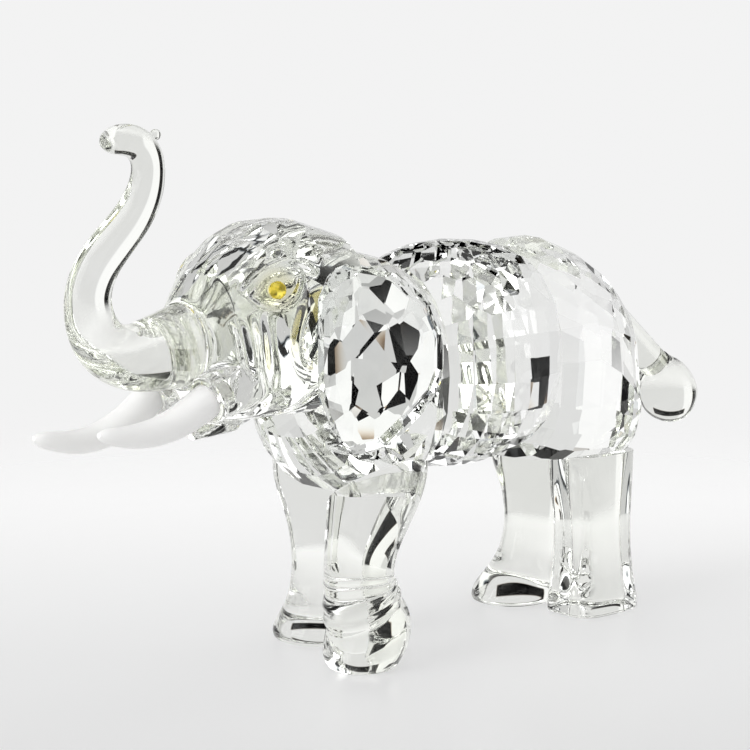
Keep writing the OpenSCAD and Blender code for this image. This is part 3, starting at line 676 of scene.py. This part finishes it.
def adhesive(name):
    """Cured clear adhesive, faintly wavy and with small bubbles."""
    mat, nt, p = new_material(name)
    p.inputs["Transmission Weight"].default_value = 1.0
    p.inputs["Roughness"].default_value = 0.02
    p.inputs["IOR"].default_value = 1.54
    tones = ramp(nt, noise(nt, 300, 3).outputs["Fac"], [(0.35, (0.97, 0.98, 0.93)), (0.65, (1, 1, 1))])
    nt.links.new(tones.outputs["Color"], p.inputs["Base Color"])
    bump = nt.nodes.new("ShaderNodeBump")
    bump.inputs["Strength"].default_value = 0.03
    bump.inputs["Distance"].default_value = 0.0004
    nt.links.new(noise(nt, 420, 4).outputs["Fac"], bump.inputs["Height"])
    nt.links.new(bump.outputs["Normal"], p.inputs["Normal"])
    return mat


CLEAR = (1.0, 1.0, 1.0)
CUT = crystal("cut_crystal", CLEAR, (0.98, 0.99, 0.965), 25)
PALE, TINTED = (0.995, 1.0, 0.98), (0.975, 0.985, 0.945)
HEAD_CUT = crystal("head_crystal", PALE, TINTED, 18, wave=0.02)
eye_glow(HEAD_CUT)
POLISHED = crystal("polished_crystal", PALE, TINTED, 18, wave=0.02)
FROSTED = frosted("frosted_crystal")
AMBER = crystal("amber_crystal", (1.0, 0.96, 0.5), (0.98, 0.88, 0.28), 400, 1.6)
FOIL = foil("pale_foil")
GLUE = adhesive("clear_adhesive")
SILVER = silvered("silvered_back")


def paint(ob, mat):
    ob.data.materials.clear()
    ob.data.materials.append(mat)


# ---------------------------------------------------------------- CAD nodes that stay
# Adhesive films that wet both glass faces, so that light passes straight through them.
COUPLED = {"trunk_bond", "leg_front_left_bond", "leg_front_right_bond", "leg_rear_left_bond",
           "leg_rear_right_bond", "tail_root_bond", "tail_drop_bond"}  # fmt: skip
SWELL = 0.02  # how far each film's faces move out where it wets the glass, and in where not
KEPT = {
    CUT: ["chest_block", "torso_block", "rump_block", "ear_left", "ear_right"],
    POLISHED: ["tail_rod"],
    AMBER: ["eye_left", "eye_right"],
    FOIL: ["eye_foil_left", "eye_foil_right"],
    GLUE: [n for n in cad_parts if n.endswith("_bond")],
}
for mat, names in KEPT.items():
    for name in names:
        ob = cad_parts[name]
        paint(ob, mat)
        for f in ob.data.polygons:
            f.use_smooth = False
for side, name in ((1, "ear_left"), (-1, "ear_right")):
    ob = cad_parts[name]
    ob.data.materials.append(SILVER)
    back = Vector((-side * EAR_N[0], -EAR_N[1], -EAR_N[2]))
    for f in ob.data.polygons:
        if f.normal.dot(back) > 0.999:
            f.material_index = 1
for name in KEPT[GLUE] + KEPT[FOIL]:
    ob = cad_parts[name]
    weld = ob.modifiers.new("weld", "WELD")
    weld.merge_threshold = 0.001 * MM
    swell = ob.modifiers.new("swell", "DISPLACE")
    swell.mid_level, swell.strength = 0.0, (SWELL if name in COUPLED else -SWELL) * MM
# The rod is smooth round its side and flat on its ends.
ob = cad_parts["tail_rod"]
for f in ob.data.polygons:
    f.use_smooth = len(f.vertices) <= 4 and abs(f.normal.x) > 1e-6 or f.area < 1e-6

# ---------------------------------------------------------------- fine pieces in place of CAD nodes
FINE = [
    (make_head(), "head", HEAD_CUT),
    (make_trunk(), "trunk", POLISHED),
    (make_tusk(1, TUSK_LEFT, "tusk_left_satin"), "tusk_left", FROSTED),
    (make_tusk(-1, TUSK_RIGHT, "tusk_right_satin"), "tusk_right", FROSTED),
    (make_leg(LEG_FL, "leg_front_left_glass", 3, (SEAT_N, SEAT_D)), "leg_front_left", POLISHED),
    (make_leg(LEG_FR, "leg_front_right_glass", 6, (mirrored(SEAT_N, -1), SEAT_D)),
     "leg_front_right", POLISHED),
    (make_leg(LEG_RL, "leg_rear_left_glass", 4), "leg_rear_left", POLISHED),
    (make_leg(LEG_RR, "leg_rear_right_glass", 6), "leg_rear_right", POLISHED),
    (make_drop(), "tail_drop", POLISHED),
]  # fmt: skip
for ob, node, mat in FINE:
    paint(ob, mat)
    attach(ob, "root")
    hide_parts(node)

# ---------------------------------------------------------------- stage, studio and camera
AZIMUTH, ELEVATION, DISTANCE = math.radians(48), math.radians(8.5), 900 * MM
BACK = Vector((math.sin(AZIMUTH) * math.cos(ELEVATION), -math.cos(AZIMUTH) * math.cos(ELEVATION),
               math.sin(ELEVATION)))  # fmt: skip
TARGET = Vector((0, -16.1 * MM, 95.5 * MM))
LENS = 124.8


FLOOR_R = 0.8
FLOOR_FAR, FLOOR_NEAR = 0.63, 0.395  # glow beyond the figurine and in front of it


def make_floor():
    """Pale table lit from inside, a little dimmer towards the camera, fading into the backdrop."""
    bm = bmesh.new()
    bmesh.ops.create_circle(bm, cap_ends=True, segments=128, radius=FLOOR_R)
    ob = to_object(bm, "floor")
    mat, nt, p = new_material("studio_floor")
    p.inputs["Base Color"].default_value = (0.3, 0.3, 0.3, 1)
    p.inputs["Roughness"].default_value = 0.4
    p.inputs["Specular IOR Level"].default_value = 0.3
    p.inputs["Emission Color"].default_value = (1, 1, 1, 1)
    coord = nt.nodes.new("ShaderNodeTexCoord")
    near = nt.nodes.new("ShaderNodeVectorMath")
    near.operation = "DOT_PRODUCT"
    near.inputs[1].default_value = (math.sin(AZIMUTH), -math.cos(AZIMUTH), 0)
    nt.links.new(coord.outputs["Object"], near.inputs[0])
    glow = nt.nodes.new("ShaderNodeMapRange")
    glow.inputs["From Min"].default_value, glow.inputs["From Max"].default_value = -0.25, 0.3
    glow.inputs["To Min"].default_value, glow.inputs["To Max"].default_value = FLOOR_FAR, FLOOR_NEAR
    nt.links.new(near.outputs["Value"], glow.inputs["Value"])
    nt.links.new(glow.outputs["Result"], p.inputs["Emission Strength"])
    length = nt.nodes.new("ShaderNodeVectorMath")
    length.operation = "LENGTH"
    nt.links.new(coord.outputs["Object"], length.inputs[0])
    fade = nt.nodes.new("ShaderNodeMapRange")
    fade.interpolation_type = "SMOOTHSTEP"
    fade.inputs["From Min"].default_value, fade.inputs["From Max"].default_value = 0.22, 0.52
    nt.links.new(length.outputs["Value"], fade.inputs["Value"])
    clear = nt.nodes.new("ShaderNodeBsdfTransparent")
    mix = nt.nodes.new("ShaderNodeMixShader")
    nt.links.new(fade.outputs["Result"], mix.inputs["Fac"])
    nt.links.new(p.outputs["BSDF"], mix.inputs[1])
    nt.links.new(clear.outputs["BSDF"], mix.inputs[2])
    nt.links.new(mix.outputs["Shader"], nt.nodes["Material Output"].inputs["Surface"])
    paint(ob, mat)
    ob.location.z = -0.02 * MM


# Studio cards as seen from the figurine: degrees round to the right of the backdrop's middle,
# degrees up, half width, half height (both degrees), softness, brightness.
ROOM = 0.6  # grey studio walls
PAPER = 0.895  # the backdrop as the camera sees it
CARDS = [
    (-100, 10, 42, 50, 0.2, 0.8),     # pale wall, left
    (180, 6, 62, 56, 0.2, 0.025),     # dark room behind the camera
    (10, 4, 54, 46, 0.08, 0.74),      # lit backdrop
    (-30, 4, 12, 50, 0.06, 0.98),     # white reflector, left
    (-48.5, 0, 9, 66, 0.02, 0.002),   # black flag, left edge of the backdrop
    (4, 27, 26, 6.5, 0.03, 0.002),    # black flag across the backdrop
    (66, 0, 7, 66, 0.02, 0.002),      # black flag, right edge of the backdrop
    (0, 60, 56, 10, 0.04, 0.004),     # black flag over the backdrop
    (114, -10, 30, 26, 0.02, 1.05),   # white reflector, right of the camera
    (105, -8, 6, 9, 0.01, 0.66),      # grey and black screens in front of it
    (126, 0.5, 5, 3, 0.006, 0.64),
    (115.5, -8, 4.4, 8.4, 0.006, 0.002),
    (113, 2.6, 2.6, 3, 0.006, 0.002),
    (124, -3, 2, 3, 0.006, 0.002),
    (102, -2, 2.4, 4, 0.006, 0.002),
    (110, -22, 5, 2.4, 0.006, 0.002),
    (98, 6, 3, 2.5, 0.006, 0.002),
    (141, -6, 2.6, 3, 0.006, 0.002),
    (93, -24, 3, 3, 0.006, 0.002),
    (-84, 6, 4, 12, 0.01, 0.002),     # black card on the left wall
    (-124, 26, 17, 22, 0.04, 4.5),    # key softbox, left of the camera
    (170, 33, 24, 14, 0.04, 1.3),     # pale panel over the camera
    (152, 4, 5, 22, 0.03, 1.2),       # white strips beside the camera
    (-152, 0, 5, 24, 0.03, 1.3),
    (-169, 2, 9, 14, 0.03, 0.6),      # grey panel beside the camera
    (178, -22, 12, 7, 0.03, 1.0),
    (180, 68, 30, 8, 0.06, 2.0),      # strip over the camera
    (-20, 84, 14, 10, 0.1, 2.0),      # overhead softbox
]  # fmt: skip
FRINGE = 0.0005  # the cards' edges differ by this much between red and blue, as in dispersion


def make_world():
    world = bpy.data.worlds.new("studio")
    bpy.context.scene.world = world
    world.use_nodes = True
    nt = world.node_tree
    nodes, link = nt.nodes, nt.links.new
    coord = nodes.new("ShaderNodeTexCoord").outputs["Generated"]

    def math_node(operation, *values):
        node = nodes.new("ShaderNodeMath")
        node.operation = operation
        for socket, value in zip(node.inputs, values):
            if isinstance(value, (int, float)):
                socket.default_value = value
            else:
                link(value, socket)
        return node.outputs[0]

    def dot(v):
        node = nodes.new("ShaderNodeVectorMath")
        node.operation = "DOT_PRODUCT"
        link(coord, node.inputs[0])
        node.inputs[1].default_value = tuple(v)
        return node.outputs["Value"]

    def edge(value, half, soft):
        """1 inside half, 0 outside, with a fringe between the channels."""
        node = nodes.new("ShaderNodeMapRange")
        node.data_type, node.interpolation_type, node.clamp = "FLOAT_VECTOR", "SMOOTHSTEP", True
        join = nodes.new("ShaderNodeCombineXYZ")
        for s in join.inputs:
            link(value, s)
        link(join.outputs[0], node.inputs["Vector"])
        low = [half - soft / 2 + k * FRINGE for k in (-1, 0, 1)]
        named = {s.identifier: s for s in node.inputs}
        named["From_Min_FLOAT3"].default_value = low
        named["From_Max_FLOAT3"].default_value = [v + soft for v in low]
        named["To_Min_FLOAT3"].default_value = (1, 1, 1)
        named["To_Max_FLOAT3"].default_value = (0, 0, 0)
        return node.outputs["Vector"]

    forward = Vector((-math.sin(AZIMUTH), math.cos(AZIMUTH), 0))
    right = Vector((math.cos(AZIMUTH), math.sin(AZIMUTH), 0))
    up = Vector((0, 0, 1))
    room = nodes.new("ShaderNodeCombineXYZ")
    for socket in room.inputs:
        socket.default_value = ROOM
    total = room.outputs[0]
    for turn, rise, half_w, half_h, soft, level in CARDS:
        t, r = math.radians(turn), math.radians(rise)
        flat = forward * math.cos(t) + right * math.sin(t)
        middle = flat * math.cos(r) + up * math.sin(r)
        across = (right * math.cos(t) - forward * math.sin(t)).normalized()
        over = across.cross(middle)
        round_it = math_node("ABSOLUTE", math_node("ARCTAN2", dot(across), dot(middle)))
        w = edge(round_it, math.radians(half_w), soft)
        h = edge(math_node("ABSOLUTE", math_node("ARCSINE", dot(over))), math.radians(half_h), soft)
        both = nodes.new("ShaderNodeVectorMath")
        both.operation = "MULTIPLY"
        link(w, both.inputs[0])
        link(h, both.inputs[1])
        mix = nodes.new("ShaderNodeMix")
        mix.data_type, mix.factor_mode = "VECTOR", "NON_UNIFORM"
        named = {s.identifier: s for s in mix.inputs}
        link(both.outputs[0], named["Factor_Vector"])
        link(total, named["A_Vector"])
        named["B_Vector"].default_value = (level, level, level)
        total = next(s for s in mix.outputs if s.identifier == "Result_Vector")
    path = nodes.new("ShaderNodeLightPath")
    seen = nodes.new("ShaderNodeMix")
    seen.data_type = "RGBA"
    named = {s.identifier: s for s in seen.inputs}
    link(path.outputs["Is Camera Ray"], named["Factor_Float"])
    link(total, named["A_Color"])
    named["B_Color"].default_value = (PAPER, PAPER, PAPER, 1)
    background = nodes["Background"]
    link(next(s for s in seen.outputs if s.identifier == "Result_Color"), background.inputs["Color"])
    world.cycles.sampling_method = "MANUAL"
    world.cycles.sample_map_resolution = 512


def make_camera():
    cam = bpy.data.objects.new("camera", bpy.data.cameras.new("camera"))
    bpy.context.scene.collection.objects.link(cam)
    cam.location = TARGET + BACK * DISTANCE
    cam.rotation_mode = "QUATERNION"
    cam.rotation_quaternion = (-BACK).to_track_quat("-Z", "Y")
    cam.data.sensor_width = 36
    cam.data.lens = LENS
    cam.data.clip_start, cam.data.clip_end = 0.01, 20
    bpy.context.scene.camera = cam


make_floor()
make_world()
make_camera()
scene = bpy.context.scene
scene.view_settings.view_transform = "Standard"
scene.cycles.max_bounces = 28
scene.cycles.transmission_bounces = 28
scene.cycles.glossy_bounces = 12
scene.cycles.transparent_max_bounces = 16
scene.cycles.sample_clamp_indirect = 8.0
